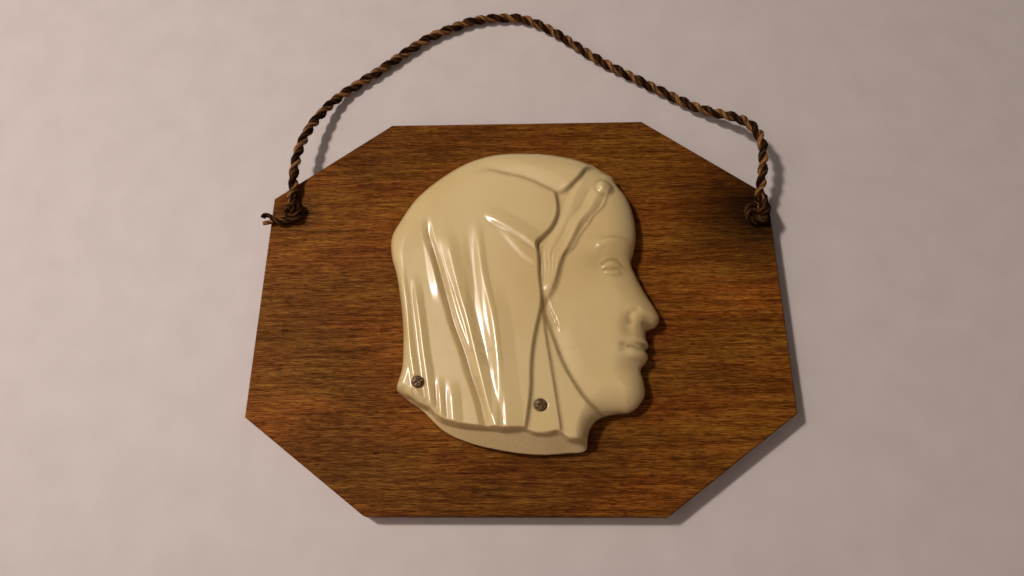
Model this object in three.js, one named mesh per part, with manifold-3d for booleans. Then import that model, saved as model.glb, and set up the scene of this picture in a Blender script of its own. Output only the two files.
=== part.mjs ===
// A wall plaque: a moulded bust of the Madonna in profile on an eight-sided wooden board with a hanging cord.
//
// Lengths are in millimetres. The pieces are laid out as they are seen from the front: x to the right, y up,
// and z out of the board, from its back. The group at the end stands them up, so that the part has +Z up,
// its face towards -Y and the back of its board in the plane y = 0, round the origin.

import * as THREE from 'three';
import { mergeVertices } from 'three/addons/utils/BufferGeometryUtils.js';
import Module from 'manifold-3d';

const wasm = await Module();
wasm.setup();

// The board
const boardWidth = 220;
const boardHeight = 175;
const boardThickness = 8;
const leftCorner = [51, 38]; // width and height cut off
const rightCorner = [53, 39];
const boardEasing = 0.5;

// The bust, whose outline, drapery and face are shares of its height
const bustHeight = 134;
const bustCentre = [4, 2]; // from the centre of the board
const bustWall = 3.2; // its upright edge
const bustDepth = 11; // the plain surface in its middle
const crownRounding = 13; // how far in from the edge the head is round, at its crown,
const sideRounding = 4; // at the back edge of the veil
const faceRounding = 14; // and at the face
const rimSlope = 8; // how far in from the edge the rim below the hem rises
const veilFall = 3.2; // how much lower the veil lies at its back edge

// The cord, its holes and its knots
const cordDiameter = 4.6;
const holeClearance = 0.5;
const leftHoleInset = 9; // from the side of the board, where the cord's points keep their place
const rightHoleInset = 6.7;
const leftHoleDrop = 44.5; // from the top of the board
const rightHoleDrop = 49;
const leftKnotWidth = 9;
const rightKnotWidth = 13;
const knotThickness = 5;
const tailLength = 12.3; // from the middle of the left hole
const tailStart = 3; // on its other side
const tailDrop = 5.3; // how far below the hole the tail lies
const plugShort = 0.6; // from the end of a knot's plug to the back

// The screws
const headDiameter = 4.8;
const headHeight = 1.4;
const shankDiameter = 2.4;
const screwBite = 5; // how deep a screw goes into the board
const seatDepth = 0.7; // from the surface of the bust down to a screw's seat
const slotWidth = 0.7;
const slotDepth = 0.6;
const slotTurns = [25, 50]; // degrees

const pieceGap = 0.3; // between pieces that touch
const cutterReach = 1; // how far a cutter stands out past what it cuts
const roundSides = 20;
const cordSides = 10;

const cordRadius = cordDiameter / 2;
const holeRadius = cordRadius + holeClearance;
const leftHole = [-boardWidth / 2 + leftHoleInset, boardHeight / 2 - leftHoleDrop];
const rightHole = [boardWidth / 2 - rightHoleInset, boardHeight / 2 - rightHoleDrop];
const shankRadius = shankDiameter / 2;
const bustBack = boardThickness + pieceGap;

// Joining and cutting

function solidOf(geometry) {
  const bare = geometry.clone();
  bare.deleteAttribute('normal');
  bare.deleteAttribute('uv');
  const merged = mergeVertices(bare);
  return new wasm.Manifold(new wasm.Mesh({
    numProp: 3,
    vertProperties: new Float32Array(merged.attributes.position.array),
    triVerts: new Uint32Array(merged.index.array),
  }));
}

function geometryOf(solid) {
  const mesh = solid.getMesh();
  const geometry = new THREE.BufferGeometry();
  geometry.setAttribute('position', new THREE.BufferAttribute(mesh.vertProperties, 3));
  geometry.setIndex(new THREE.BufferAttribute(mesh.triVerts, 1));
  geometry.computeVertexNormals();
  return geometry;
}

// An upright pin from z = low to z = high over a place on the board.
function pin([x, y], radius, low, high) {
  const geometry = new THREE.CylinderGeometry(radius, radius, high - low, roundSides);
  geometry.rotateX(Math.PI / 2);
  geometry.translate(x, y, (low + high) / 2);
  return geometry;
}

// A round piece from a profile of [radius, z] points that starts and ends on its axis, over a place on the
// board.
function turned([x, y], profile) {
  const points = profile.map(([radius, z]) => new THREE.Vector2(radius, z));
  const geometry = new THREE.LatheGeometry(points, roundSides);
  geometry.rotateX(Math.PI / 2);
  geometry.translate(x, y, 0);
  return geometry;
}

// Lines on the bust. A point is given in hundredths of the bust's height, from its centre.

const share = bustHeight / 100;

function placed([x, y]) {
  return new THREE.Vector3(bustCentre[0] + x * share, bustCentre[1] + y * share, 0);
}

function curveThrough(points) {
  return new THREE.CatmullRomCurve3(points.map(placed), false, 'centripetal');
}

// A line's points, close enough together for measuring from it.
function lineThrough(points) {
  const curve = curveThrough(points);
  return curve.getSpacedPoints(Math.ceil(curve.getLength() / (2 * share)));
}

// Where a point is beside a line: how far off it, positive on the left of its direction, and how far along.
function beside(line, x, y) {
  let best = { off: Infinity, along: 0 };
  for (let i = 0; i < line.length - 1; i++) {
    const [a, b] = [line[i], line[i + 1]];
    const [dx, dy] = [b.x - a.x, b.y - a.y];
    const t = Math.min(1, Math.max(0, ((x - a.x) * dx + (y - a.y) * dy) / (dx * dx + dy * dy)));
    const off = Math.hypot(x - a.x - t * dx, y - a.y - t * dy);
    if (off < Math.abs(best.off)) {
      const left = dx * (y - a.y) - dy * (x - a.x) >= 0;
      best = { off: left ? off : -off, along: (i + t) / (line.length - 1) };
    }
  }
  return best;
}

const smooth = (low, high, value) => THREE.MathUtils.smoothstep(value, low, high);

// 0 on the right of a line and 1 on its left, with a smooth step of the given half width, in hundredths.
const step = (line, softness, x, y) => smooth(-softness, softness, beside(line, x, y).off / share);

// The face is drawn in its own measures: how far down from the hairline to the chin, and how far out from the
// upright plane that the forehead touches, both as shares of the face's height.
const faceTopShares = [35.3, 36.6];
const faceShare = 75;
const faceTilt = THREE.MathUtils.degToRad(1.5);

function onFace(down, out) {
  const x = faceTopShares[0] + faceShare * (out * Math.cos(faceTilt) - down * Math.sin(faceTilt));
  const y = faceTopShares[1] - faceShare * (down * Math.cos(faceTilt) + out * Math.sin(faceTilt));
  return [x, y];
}

const profile = [
  [1.0, -0.09], [0.995, -0.05], [0.97, -0.012], [0.925, 0.014], [0.875, 0.012], [0.825, 0.002],
  [0.785, 0.028], [0.762, 0.032], [0.745, 0.02], [0.728, 0.037], [0.7, 0.028], [0.662, 0.03],
  [0.642, 0.066], [0.615, 0.084], [0.58, 0.073], [0.5, 0.028], [0.42, -0.008], [0.365, -0.024],
  [0.31, -0.01], [0.24, 0], [0.14, -0.01], [0.06, -0.036],
].map(([down, out]) => onFace(down, out));

// The outline, in two halves from the lowest point to the crown: the back of the veil, and the throat, the
// face and the front of the veil.
const backOutline = [
  [5, -50], [-2.1, -49.5], [-10.5, -48.1], [-16.8, -46.5], [-24.1, -43.3], [-31.2, -36.9], [-36.5, -33.2],
  [-38.9, -31], [-38.6, -29.4], [-37.6, -25.3], [-37.5, -19.4], [-38.1, -11.1], [-39.6, -1.4], [-41.3, 6.3],
  [-43.1, 12.2], [-43.5, 18.8], [-41, 24.7], [-36.1, 32.9], [-27.7, 40.7], [-18.8, 46.1], [-9.1, 48.6],
  [3.7, 48.6],
];
const frontOutline = [
  [5, -50], [11, -49.5], [16.7, -48.7], [17.4, -45.6], [18.2, -42.9], [20.1, -40.3], [22.6, -39],
  ...profile, [29.6, 36.8], [28.5, 39.5], [26, 41.2], [21, 44.2], [16.4, 46.1], [9.4, 47.8], [3.7, 48.6],
];

const backCurve = curveThrough(backOutline);
const frontCurve = curveThrough(frontOutline);
const outlineSteps = 110;
const outline = [
  ...backCurve.getSpacedPoints(outlineSteps).reverse(),
  ...frontCurve.getSpacedPoints(outlineSteps),
];

// The veil, the hair and the inner veil lie on the head in layers. Each layer is on the left of its line,
// which runs up from the hem, and stands above what is on the right of it.
const veilLine = lineThrough([
  [-0.6, -46], [0.6, -39.7], [1.1, -32.9], [0.9, -26.4], [1.6, -19.5], [3.2, -11.6], [4.4, -3.8], [3.8, 3.7],
  [3.4, 12.9], [5.4, 15.5], [8.5, 20.6], [9.9, 26.9], [9.5, 31.7], [13.5, 33.6], [17.6, 37.3], [20.4, 42.1],
  [27, 42],
]);
const innerVeilLine = lineThrough([[9.3, -48], [8.7, -39.5], [7.7, -32.6], [5.9, -18.3], [4.6, -6.8]]);
const hairLine = lineThrough([
  [24, -41], [16.4, -35.7], [10.3, -24.8], [7.7, -17.5], [4.9, -6.8], [8.3, -1.4], [10.3, 7],
  [14.5, 12.9], [17.4, 17.8], [20.8, 23.2], [23.8, 26.5], [25.6, 31], [29, 36.5],
]);
const jawLine = lineThrough([[10, -15], [15, -28], [22, -34], [30, -37.5]]);
const hemLine = lineThrough([
  [-42, -33], [-32.8, -37.3], [-24.8, -41.3], [-20.6, -42.8], [-10.7, -43.2], [-5.9, -41.1], [-0.1, -42.9],
  [0.5, -44.5], [8.7, -44.7], [11.7, -46.7], [20, -46],
]);
const veilRise = 1.6;
const innerVeilRise = 0.6;
const hairRise = 1.2;
const jawRise = 1;
const edgeSoftness = 0.8; // half the width of a layer's edge, in hundredths of the bust's height
const jawSoftness = 3.7;

// The folds of the veil: a line from its lower to its upper end, a rise or a furrow, and the half width, all
// in hundredths of the bust's height.
const folds = [
  [[[-12.5, -42], [-17.7, -23.3], [-24.9, -0.3], [-28.8, 13.1], [-32, 27]], -1.2, 2.5],
  [[[-19, -30], [-23, -15.6], [-29.8, 6.4], [-32.5, 19]], 0.4, 3],
  [[[-10.6, -43], [-16.6, -23.9], [-20, -5.8], [-25.5, 8.1], [-30, 20]], 0.8, 2.5],
  [[[-9.6, -43], [-10.3, -23.2], [-13.3, 1.1], [-15.6, 14.2], [-17, 26]], 0.8, 2.5],
  [[[-6.3, -42], [-7.6, -28.6], [-11, 1], [-13.6, 15]], 0.7, 2.2],
  [[[-32, -38], [-32.5, -27.4], [-34.4, -15.4], [-36.9, -4], [-40.5, 10]], 0.6, 2],
  [[[-28.9, -38.5], [-29.8, -25.3], [-31.1, -15.8], [-33.2, -5.2], [-35.5, 4]], 0.8, 2.1],
  [[[-24.6, -42], [-25.6, -31]], 0.7, 1.6],
  [[[-21.5, -42], [-22.8, -29]], 0.7, 2.1],
  [[[2.5, 13.4], [-5.9, 19.5], [-15, 26.5]], 1, 2.5],
  [[[2.8, 7.5], [-3.7, 13.6], [-11, 21.5]], 0.3, 3],
  [[[10, 31.2], [3.6, 35.5], [-3.9, 38.1], [-18, 39.5]], -1, 2.7],
].map(([points, rise, width]) => ({ line: lineThrough(points), rise: rise * share, width: width * share }));
const crestRoundness = 0.4 * share;
const foldFade = 0.65; // how far up a fold starts to die out

// The hair's locks run side by side between the edge of the veil and the hairline.
const lockCount = 3;
const lockRise = 0.5;
const curlPlace = placed([25.2, 33.4]);
const curlRise = 2;
const curlSize = 2.9;

// Swellings and hollows of the face: down and out on it, half their width and height, as shares of its
// height, and a rise, in hundredths of the bust's height.
const faceForms = [
  { name: 'forehead', down: 0.17, out: -0.17, wide: 0.15, tall: 0.15, rise: 0.6 },
  { name: 'brow', down: 0.32, out: -0.1, wide: 0.12, tall: 0.03, rise: 0.7 },
  { name: 'socket', down: 0.395, out: -0.1, wide: 0.09, tall: 0.05, rise: -1.9 },
  { name: 'eye', down: 0.4, out: -0.105, wide: 0.045, tall: 0.03, rise: 1.3 },
  { name: 'cheek', down: 0.56, out: -0.22, wide: 0.16, tall: 0.14, rise: 0.9 },
  { name: 'nostril wing', down: 0.632, out: 0.002, wide: 0.03, tall: 0.026, rise: 1 },
  { name: 'fold of the cheek', down: 0.665, out: -0.052, wide: 0.025, tall: 0.045, rise: -0.6 },
  { name: 'upper lip', down: 0.722, out: -0.004, wide: 0.05, tall: 0.014, rise: 0.7 },
  { name: 'lower lip', down: 0.776, out: -0.01, wide: 0.045, tall: 0.016, rise: 0.7 },
  { name: 'corner of the mouth', down: 0.75, out: -0.07, wide: 0.02, tall: 0.02, rise: -0.6 },
  { name: 'hollow under the lip', down: 0.825, out: -0.03, wide: 0.045, tall: 0.022, rise: -0.5 },
  { name: 'chin', down: 0.91, out: -0.04, wide: 0.06, tall: 0.05, rise: 0.7 },
].map((form) => ({ ...form, centre: placed(onFace(form.down, form.out)) }));

function swelling(form, x, y) {
  const reach = faceShare * share;
  const [dx, dy] = [x - form.centre.x, y - form.centre.y];
  return form.rise * share * Math.exp(-((dx / (form.wide * reach)) ** 2) - (dy / (form.tall * reach)) ** 2);
}

// A fold has a rounded crest and straight sides, keeps its height down to the hem and dies out at its upper
// end.
function foldHeight({ line, rise, width }, x, y) {
  const { off, along } = beside(line, x, y);
  const slope = Math.max(0, 1 - (Math.hypot(off, crestRoundness) - crestRoundness) / width);
  return rise * slope ** 1.5 * (1 - smooth(foldFade, 1, along));
}

// In hundredths of the bust's height from its centre: where up it the rounding of its side changes to its
// crown's, where across it that changes to the face's and the veil falls to its back edge, and where up it the
// inner veil ends under the veil and the locks begin.
const crownChange = [4, 30];
const faceChange = [7.5, 30];
const veilFallChange = [-42, 5];
const innerVeilEnd = [-12, -6];
const locksStart = [-6, 0];

// Height of the bust's surface above its flat back.
function bustSurface(x, y) {
  const across = (x - bustCentre[0]) / share;
  const up = (y - bustCentre[1]) / share;
  const inside = Math.abs(beside(outline, x, y).off);
  const backRounding = THREE.MathUtils.lerp(sideRounding, crownRounding, smooth(...crownChange, up));
  const rounding = THREE.MathUtils.lerp(backRounding, faceRounding, smooth(...faceChange, across));
  const rounded = Math.sqrt(1 - (1 - Math.min(inside / rounding, 1)) ** 2);
  const sloped = Math.min(inside / rimSlope, 1);

  const onVeil = step(veilLine, edgeSoftness, x, y);
  const onHair = step(hairLine, edgeSoftness, x, y);
  const innerVeil = step(innerVeilLine, edgeSoftness, x, y) * (1 - smooth(...innerVeilEnd, up));
  const onInnerVeil = Math.max(onVeil, innerVeil);
  const aboveJaw = step(jawLine, jawSoftness, x, y);
  const aboveHem = step(hemLine, edgeSoftness, x, y);

  const layers = veilRise * onVeil + hairRise * onHair + innerVeilRise * onInnerVeil;
  let height = bustDepth - bustWall + layers * aboveHem + jawRise * aboveJaw * (1 - onHair);
  height -= veilFall * (1 - smooth(...veilFallChange, across)) * onVeil;
  for (const fold of folds) height += foldHeight(fold, x, y) * onVeil * aboveHem;
  for (const form of faceForms) height += swelling(form, x, y) * (1 - onHair);

  const fromHairline = Math.abs(beside(hairLine, x, y).off);
  const fromVeil = Math.abs(beside(veilLine, x, y).off);
  const acrossHair = fromHairline / (fromHairline + fromVeil + pieceGap);
  const inHair = (1 - onVeil) * onHair * smooth(...locksStart, up);
  height += lockRise * Math.cos(2 * Math.PI * lockCount * acrossHair) * inHair;
  const fromCurl = Math.hypot(x - curlPlace.x, y - curlPlace.y) / curlSize;
  height += curlRise * Math.exp(-(fromCurl ** 2));

  return bustWall + height * THREE.MathUtils.lerp(sloped, rounded, aboveHem);
}

// Points up one half of the outline: at each given point of its front, and between them where they are far
// apart.
function outlineStops(points, spacing) {
  const curve = curveThrough(points);
  const spans = points.length - 1;
  const stops = [0];
  for (let i = 0; i < spans; i++) {
    const length = placed(points[i]).distanceTo(placed(points[i + 1]));
    const parts = Math.max(1, Math.round(length / spacing));
    for (let k = 1; k <= parts; k++) stops.push((i + k / parts) / spans);
  }
  return stops.map((stop) => curve.getPoint(stop));
}

// How far across a row, from 0 at its left end to 1 at its right, each row crosses a line, within limits. A
// row that misses the line takes the place from the row next to it.
function crossings(line, lefts, rights, [least, most]) {
  const closeEnough = 1e-4;
  const found = lefts.map((left, i) => {
    const side = (across) => {
      const point = left.clone().lerp(rights[i], across);
      return beside(line, point.x, point.y).off;
    };
    if (side(0) <= 0 || side(1) >= 0) return null;
    let [low, high] = [0, 1];
    while (high - low > closeEnough) {
      const middle = (low + high) / 2;
      if (side(middle) > 0) low = middle;
      else high = middle;
    }
    return Math.min(most, Math.max(least, low));
  });
  for (let i = 1; i < found.length; i++) found[i] ??= found[i - 1];
  for (let i = found.length - 2; i >= 0; i--) found[i] ??= found[i + 1];
  return found;
}

// The bust is a sheet of rows from the back of the outline to its front, with a wall down to a flat back. The
// columns are laid out so that the edge of the veil and the hairline each run between two of them.
function bustGeometry() {
  const columnCounts = [24, 8, 14]; // on the veil, between its edge and the hairline, and on the face
  const veilLimits = [0.1, 0.86];
  const hairLimits = [0.16, 0.94];
  const leastHair = 0.04; // of a row's width
  const rowSpacing = 2.4 * share;
  const sameSpot = 1e-6;
  const front = outlineStops(frontOutline, rowSpacing);
  const lengths = [0];
  for (let i = 1; i < front.length; i++) lengths.push(lengths[i - 1] + front[i].distanceTo(front[i - 1]));
  const back = lengths.map((length) => backCurve.getPointAt(length / lengths[lengths.length - 1]));
  const rows = front.length - 1;
  const veilAt = crossings(veilLine, back, front, veilLimits);
  const hairAt = crossings(hairLine, back, front, hairLimits)
    .map((at, i) => Math.max(at, veilAt[i] + leastHair));

  const surface = front.map((right, i) => {
    const breaks = [0, veilAt[i], hairAt[i], 1];
    const across = [0];
    columnCounts.forEach((count, zone) => {
      const width = (breaks[zone + 1] - breaks[zone]) / count;
      for (let k = 1; k <= count; k++) across.push(breaks[zone] + k * width);
    });
    return across.map((at, j) => {
      const point = back[i].clone().lerp(right, at);
      const onEdge = j === 0 || j === across.length - 1 || i === 0 || i === rows;
      point.z = bustBack + (onEdge ? bustWall : bustSurface(point.x, point.y));
      return point;
    });
  });
  const columns = surface[0].length - 1;
  const base = front.map((right, i) => [back[i], right].map((p) => new THREE.Vector3(p.x, p.y, bustBack)));

  const corners = [];
  const apart = (a, b) => a.distanceTo(b) > sameSpot;
  const triangle = (a, b, c) => {
    if (apart(a, b) && apart(b, c) && apart(c, a)) corners.push(a, b, c);
  };
  const quad = (a, b, c, d) => {
    triangle(a, b, c);
    triangle(a, c, d);
  };
  // A patch of the surface is split along whichever of its diagonals lies closer to the true surface.
  const patch = (a, b, c, d) => {
    const middle = a.clone().add(b).add(c).add(d).divideScalar(4);
    const height = bustBack + bustSurface(middle.x, middle.y);
    if (Math.abs((a.z + c.z) / 2 - height) <= Math.abs((b.z + d.z) / 2 - height)) quad(a, b, c, d);
    else quad(b, c, d, a);
  };
  for (let i = 0; i < rows; i++) {
    const [row, next] = [surface[i], surface[i + 1]];
    for (let j = 0; j < columns; j++) patch(row[j], row[j + 1], next[j + 1], next[j]);
    quad(base[i][0], base[i + 1][0], base[i + 1][1], base[i][1]);
    quad(base[i][0], row[0], next[0], base[i + 1][0]);
    quad(base[i][1], base[i + 1][1], next[columns], row[columns]);
  }
  return new THREE.BufferGeometry().setFromPoints(corners);
}

// Each screw stands in a seat in the bust, through a clearance hole, and in a blind hole in the board.
const screws = [
  { name: 'screw_left', place: [-31.9, -30.1], slotTurn: slotTurns[0] },
  { name: 'screw_middle', place: [3.7, -37.1], slotTurn: slotTurns[1] },
].map((screw) => {
  const { x, y } = placed(screw.place);
  return { ...screw, place: [x, y], seat: bustBack + bustSurface(x, y) - seatDepth };
});

function bust() {
  let solid = solidOf(bustGeometry());
  for (const { place, seat } of screws) {
    const above = seat + bustDepth;
    solid = solid.subtract(solidOf(pin(place, headDiameter / 2 + pieceGap, seat, above)));
    solid = solid.subtract(solidOf(pin(place, shankRadius + pieceGap, 0, above)));
  }
  return geometryOf(solid);
}

function board() {
  const [right, top] = [boardWidth / 2, boardHeight / 2];
  const shape = new THREE.Shape([
    [-right + leftCorner[0], top], [right - rightCorner[0], top], [right, top - rightCorner[1]],
    [right, -top + rightCorner[1]], [right - rightCorner[0], -top], [-right + leftCorner[0], -top],
    [-right, -top + leftCorner[1]], [-right, top - leftCorner[1]],
  ].map(([x, y]) => new THREE.Vector2(x, y)));
  const slab = new THREE.ExtrudeGeometry(shape, {
    depth: boardThickness - 2 * boardEasing,
    bevelSize: boardEasing,
    bevelOffset: -boardEasing,
    bevelThickness: boardEasing,
    bevelSegments: 1,
  });
  slab.translate(0, 0, boardEasing);
  let solid = solidOf(slab);
  for (const hole of [leftHole, rightHole]) {
    solid = solid.subtract(solidOf(pin(hole, holeRadius, -cutterReach, boardThickness + cutterReach)));
  }
  for (const { place } of screws) {
    const bottom = boardThickness - screwBite - pieceGap;
    const above = boardThickness + cutterReach;
    solid = solid.subtract(solidOf(pin(place, shankRadius + pieceGap, bottom, above)));
  }
  return geometryOf(solid);
}

// The outside of a screw's head, from its edge underneath to its top, as shares of its radius and height.
const headProfile = [[1, 0], [1, 0.4], [0.75, 0.8], [0, 1]];

function screw({ place, seat, slotTurn }) {
  const radius = headDiameter / 2;
  const under = seat + pieceGap;
  const top = under + headHeight;
  const body = turned(place, [
    [0, boardThickness - screwBite], [shankRadius, boardThickness - screwBite + shankRadius],
    [shankRadius, under],
    ...headProfile.map(([wide, high]) => [wide * radius, under + high * headHeight]),
  ]);
  const slot = new THREE.BoxGeometry(headDiameter + cutterReach, slotWidth, 2 * slotDepth);
  slot.rotateZ(THREE.MathUtils.degToRad(slotTurn));
  slot.translate(place[0], place[1], top);
  return geometryOf(solidOf(body).subtract(solidOf(slot)));
}

// A tube of the cord's thickness along a curve.
function cordTube(curve, steps) {
  const section = new THREE.Shape(Array.from({ length: cordSides }, (_, i) => {
    const turn = (2 * Math.PI * i) / cordSides;
    return new THREE.Vector2(cordRadius * Math.cos(turn), cordRadius * Math.sin(turn));
  }));
  return new THREE.ExtrudeGeometry(section, { steps, extrudePath: curve, bevelEnabled: false });
}

// The outside of a knot, from underneath to its top, as shares of its radius and thickness.
const knotProfile = [[0.75, 0], [1, 0.35], [0.9, 0.75], [0.55, 1], [0, 0.8]];

// A knot lies on the face of the board over its hole, with a plug of cord down the hole.
function knot(hole, width) {
  const under = boardThickness + pieceGap;
  const radius = width / 2;
  return turned(hole, [
    [0, plugShort], [cordRadius, plugShort], [cordRadius, under],
    ...knotProfile.map(([wide, high]) => [wide * radius, under + high * knotThickness]),
  ]);
}

function leftKnot() {
  const height = boardThickness + pieceGap + cordRadius;
  const [x, y] = leftHole;
  const tail = new THREE.LineCurve3(
    new THREE.Vector3(x + tailStart, y - tailDrop, height),
    new THREE.Vector3(x - tailLength, y - tailDrop, height),
  );
  return geometryOf(solidOf(knot(leftHole, leftKnotWidth)).add(solidOf(cordTube(tail, 2))));
}

// The cord leaves the top of the left knot in front of the board, clears its corner, lies back against the
// wall over the board, and comes forward again to the right knot. Its ends stop just short of the knots.
const cordPath = [
  [-101, 48.2, 10.7], [-100.6, 53, 11.3], [-101, 58, 12], [-100.9, 65.4, 12], [-100.4, 73.4, 11],
  [-98.2, 83.5, 9.5], [-95.2, 91.9, 7.5], [-89.7, 102.9, 4.5], [-83.5, 110.5, 2.9], [-67.3, 123.8, 2.6],
  [-51.2, 137.4, 2.6], [-42.9, 143.3, 2.6], [-34.3, 147.5, 2.6], [-24.6, 151.6, 2.6], [-15, 153.5, 2.6],
  [-5.4, 153.7, 2.6], [2.1, 152.8, 2.6], [10.6, 148.9, 2.6], [20, 142.4, 2.6], [38.3, 127.4, 2.6],
  [56.6, 115.2, 2.6], [74, 103.9, 3], [82.3, 98, 4.2], [90.3, 93.1, 6.2], [97.9, 88.7, 9.2],
  [103.8, 83, 12.4], [107.1, 76.5, 14.2], [108.3, 70.2, 14.6], [108.2, 63.6, 14], [107.4, 57, 12.8],
  [106.3, 51, 11.6], [105.4, 46.3, 10.9],
];

function cord() {
  const points = cordPath.map((p) => new THREE.Vector3(...p));
  const curve = new THREE.CatmullRomCurve3(points, false, 'centripetal');
  return cordTube(curve, Math.round(curve.getLength() / (2 * cordDiameter)));
}

const wood = new THREE.MeshStandardMaterial({ color: 0x6b3d1a, roughness: 0.45, metalness: 0 });
const ivory = new THREE.MeshStandardMaterial({ color: 0xe6d6ae, roughness: 0.3, metalness: 0 });
const brass = new THREE.MeshStandardMaterial({ color: 0x7a6238, roughness: 0.5, metalness: 0.9 });
const yarn = new THREE.MeshStandardMaterial({ color: 0x5a3c26, roughness: 0.9, metalness: 0 });

const plaque = new THREE.Group();
plaque.rotation.x = Math.PI / 2;

function addPiece(name, geometry, material) {
  const mesh = new THREE.Mesh(geometry, material.clone());
  mesh.name = name;
  plaque.add(mesh);
}

addPiece('backboard', board(), wood);
addPiece('madonna_relief', bust(), ivory);
for (const one of screws) addPiece(one.name, screw(one), brass);
addPiece('cord_knot_left', leftKnot(), yarn);
addPiece('cord_knot_right', knot(rightHole, rightKnotWidth), yarn);
addPiece('hanging_cord', cord(), yarn);

export default plaque;
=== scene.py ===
# A wall plaque: a moulded bust of the Madonna in profile, screwed to an eight-sided wooden board that hangs
# by a twisted cord. Lengths are in metres. +X is to the viewer's right and +Z is up. The plaque faces -Y, and
# the back of its board is in the plane y = 0.
import math

import bmesh
import bpy
import numpy as np
from mathutils import Matrix, Vector


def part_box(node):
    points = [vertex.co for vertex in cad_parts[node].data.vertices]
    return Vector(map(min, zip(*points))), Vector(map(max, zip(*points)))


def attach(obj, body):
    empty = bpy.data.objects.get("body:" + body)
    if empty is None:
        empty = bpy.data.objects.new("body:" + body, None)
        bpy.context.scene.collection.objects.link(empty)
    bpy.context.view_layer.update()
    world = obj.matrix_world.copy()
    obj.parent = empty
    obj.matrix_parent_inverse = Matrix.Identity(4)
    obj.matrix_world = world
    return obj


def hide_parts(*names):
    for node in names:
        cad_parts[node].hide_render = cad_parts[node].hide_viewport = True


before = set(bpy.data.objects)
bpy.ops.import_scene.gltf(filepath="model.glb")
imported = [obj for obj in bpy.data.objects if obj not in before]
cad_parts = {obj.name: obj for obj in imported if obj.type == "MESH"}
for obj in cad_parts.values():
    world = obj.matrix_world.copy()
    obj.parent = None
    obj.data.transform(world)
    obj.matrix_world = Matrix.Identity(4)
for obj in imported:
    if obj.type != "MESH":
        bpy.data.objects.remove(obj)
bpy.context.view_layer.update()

MM = 0.001


# The backboard is one flat piece of brown-stained hardwood with its grain across. It is sawn to eight sides
# with its arrises just taken off. It has a thin satin varnish and is darker in places. Round the knots that
# darkening is partly stained wood and partly painted shadow of the knots and cord.

def new_material(name):
    """A material, its node tree and its surface shader."""
    material = bpy.data.materials.new(name)
    material.use_nodes = True
    return material, material.node_tree, material.node_tree.nodes["Principled BSDF"]


def add(tree, kind, inputs=None, **settings):
    """Adds a node with its settings, and sets its inputs to values or links them to sockets."""
    made = tree.nodes.new("ShaderNode" + kind)
    for setting, value in settings.items():
        setattr(made, setting, value)
    for socket, value in (inputs or {}).items():
        if isinstance(value, bpy.types.NodeSocket):
            tree.links.new(value, made.inputs[socket])
        else:
            made.inputs[socket].default_value = value
    return made


def noise(tree, scale, detail=4.0, roughness=0.5, distortion=0.0):
    """Noise between 0 and 1 on the piece's own coordinates, with its own scale for each axis, in 1/m."""
    place = add(tree, "TexCoord").outputs["Object"]
    stretched = add(tree, "Mapping", {"Vector": place, "Scale": scale}).outputs["Vector"]
    inputs = {"Vector": stretched, "Scale": 1.0, "Detail": detail, "Roughness": roughness,
              "Distortion": distortion}
    return add(tree, "TexNoise", inputs).outputs["Fac"]


def ramp(tree, value, stops):
    """A colour scale over a value, from (place, colour) stops, where a number stands for a grey."""
    made = add(tree, "ValToRGB", {"Fac": value})
    scale = made.color_ramp
    while len(scale.elements) < len(stops):
        scale.elements.new(1.0)
    for element, (place, colour) in zip(scale.elements, stops):
        element.position = place
        element.color = (*colour, 1.0) if isinstance(colour, tuple) else (colour, colour, colour, 1.0)
    return made.outputs["Color"]


def mix(tree, factor, first, second, blend="MIX"):
    """Two colours mixed or blended by a factor. Each of the three is a value or a socket."""
    made = add(tree, "Mix", data_type="RGBA", blend_type=blend)
    factor_input, first_input, second_input = made.inputs[0], made.inputs[6], made.inputs[7]
    for socket, value in ((factor_input, factor), (first_input, first), (second_input, second)):
        if isinstance(value, bpy.types.NodeSocket):
            tree.links.new(value, socket)
        else:
            socket.default_value = value if isinstance(value, float) else (*value, 1.0)
    return made.outputs[2]


def bump(tree, shader, height, strength, distance):
    """Gives a shader's surface fine unevenness from a height."""
    made = add(tree, "Bump", {"Height": height, "Strength": strength, "Distance": distance})
    tree.links.new(made.outputs["Normal"], shader.inputs["Normal"])


def nearness(tree, centre, radius):
    """1 at a place on the piece, falling to 0 at a radius, which may differ for each axis."""
    place = add(tree, "TexCoord").outputs["Object"]
    scale = tuple(1 / r for r in radius)
    shift = tuple(-c / r for c, r in zip(centre, radius))
    local = add(tree, "Mapping", {"Vector": place, "Scale": scale, "Location": shift}).outputs["Vector"]
    return add(tree, "TexGradient", {"Vector": local}, gradient_type="SPHERICAL").outputs["Fac"]


# Darker places on the board: a centre, a radius along each axis, and a shade that multiplies the colour.
# The two round the knots are partly stained wood and partly painted shadow of the knots and cord.
darker_places_and_knot_shadows = [
    ((0.104, 0, 0.041), (0.042, 1, 0.038), 0.15),
    ((0.06, 0, 0.082), (0.11, 1, 0.03), 0.75),
    ((-0.02, 0, -0.095), (0.16, 1, 0.05), 0.75),
    ((-0.055, 0, 0.075), (0.06, 1, 0.03), 0.75),
    ((-0.1, 0, 0.043), (0.014, 1, 0.016), 0.5),
]


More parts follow.
